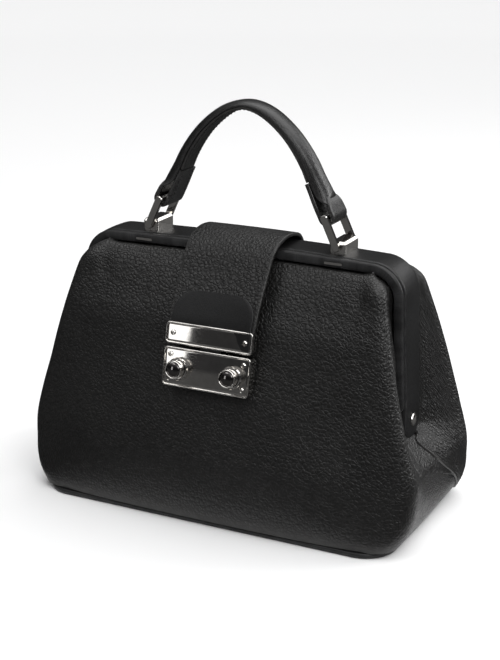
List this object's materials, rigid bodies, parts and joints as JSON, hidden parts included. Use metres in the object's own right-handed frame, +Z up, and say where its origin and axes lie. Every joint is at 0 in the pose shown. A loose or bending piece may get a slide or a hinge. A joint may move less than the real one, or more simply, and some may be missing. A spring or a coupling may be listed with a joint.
{
  "type": "doctor bag",
  "caption": "Structured leather frame bag with a swinging front frame, closing flap, push-button lock and a rolled handle on hinged rings.",
  "frame": {"origin": "bottom centre of the base, on the plane the bag stands on", "axes": "X along the bag's length, Y from front to back, Z up"},
  "size_m": [0.2504, 0.1279, 0.2452],
  "materials": {
    "pebbled_leather": "black pebbled leather, satin",
    "smooth_leather": "black smooth leather, semi-gloss",
    "nickel": "polished nickel plate",
    "steel": "plain steel bar",
    "board": "dark fibreboard stiffener"
  },
  "bodies": {
    "body": {"base_board": "board", "base_panel": "smooth_leather", "bracket_left": "nickel", "bracket_right": "nickel", "end_left": "smooth_leather", "end_right": "smooth_leather", "flap_anchor": "pebbled_leather", "frame_bar_back": "steel", "frame_cover": "smooth_leather", "gusset_back_left": "pebbled_leather", "gusset_back_right": "pebbled_leather", "panel_back": "pebbled_leather", "panel_front_lower": "pebbled_leather", "rim_back": "smooth_leather", "rivet_left": "nickel", "rivet_right": "nickel"},
    "front_frame": {"button_collar_left": "nickel", "button_collar_right": "nickel", "clip_left": "nickel", "clip_right": "nickel", "frame_bar_front": "steel", "gusset_front_left": "pebbled_leather", "gusset_front_right": "pebbled_leather", "lock_backing": "steel", "lock_case": "nickel", "lock_plate": "nickel", "lock_screw_high_left": "nickel", "lock_screw_high_right": "nickel", "lock_screw_low_left": "nickel", "lock_screw_low_right": "nickel", "panel_front_upper": "pebbled_leather", "rim_front": "smooth_leather"},
    "flap": {"flap": "pebbled_leather", "flap_patch": "smooth_leather", "hasp_back": "nickel", "hasp_front": "nickel", "hasp_screw_left": "nickel", "hasp_screw_right": "nickel", "hasp_tongue": "steel"},
    "ring_left": {"ring_left": "nickel"},
    "handle": {"handle_face": "pebbled_leather", "handle_grip": "smooth_leather", "handle_loop_left": "smooth_leather", "handle_loop_right": "smooth_leather"},
    "ring_right": {"ring_right": "nickel"},
    "button_left": {"button_left": "nickel"},
    "button_right": {"button_right": "nickel"}
  },
  "joints": [
    {"name": "front_frame_swing", "type": "hinge", "parent": "body", "child": "front_frame", "pos_m": [0, 0, 0.065], "axis": [1, 0, 0], "range_deg": [0, 35]},
    {"name": "flap_lift", "type": "hinge", "parent": "body", "child": "flap", "pos_m": [0, 0.0142, 0.1584], "axis": [-1, 0, 0], "range_deg": [0, 91]},
    {"name": "ring_left_swing", "type": "hinge", "parent": "body", "child": "ring_left", "pos_m": [-0.062, 0, 0.1662], "axis": [0, 1, 0], "range_deg": [-15, 15]},
    {"name": "handle_swing", "type": "hinge", "parent": "ring_left", "child": "handle", "pos_m": [-0.05439, 0, 0.18251], "axis": [0, 1, 0], "range_deg": [-17.1, 17.1]},
    {"name": "ring_right_swing", "type": "hinge", "parent": "body", "child": "ring_right", "pos_m": [0.062, 0, 0.1662], "axis": [0, 1, 0], "range_deg": [-15, 15]},
    {"name": "button_left_press", "type": "slide", "parent": "front_frame", "child": "button_left", "axis": [0, 0.9781, -0.2079], "range_m": [0, 0.0025], "stiffness_N_per_m": 400},
    {"name": "button_right_press", "type": "slide", "parent": "front_frame", "child": "button_right", "axis": [0, 0.9781, -0.2079], "range_m": [0, 0.0025], "stiffness_N_per_m": 400}
  ],
  "couplings": [
    {"joint": "flap_lift", "follows": "front_frame_swing", "ratio": 2.6},
    {"joint": "handle_swing", "follows": "ring_left_swing", "ratio": -1.14},
    {"joint": "ring_right_swing", "follows": "ring_left_swing", "ratio": 1}
  ]
}
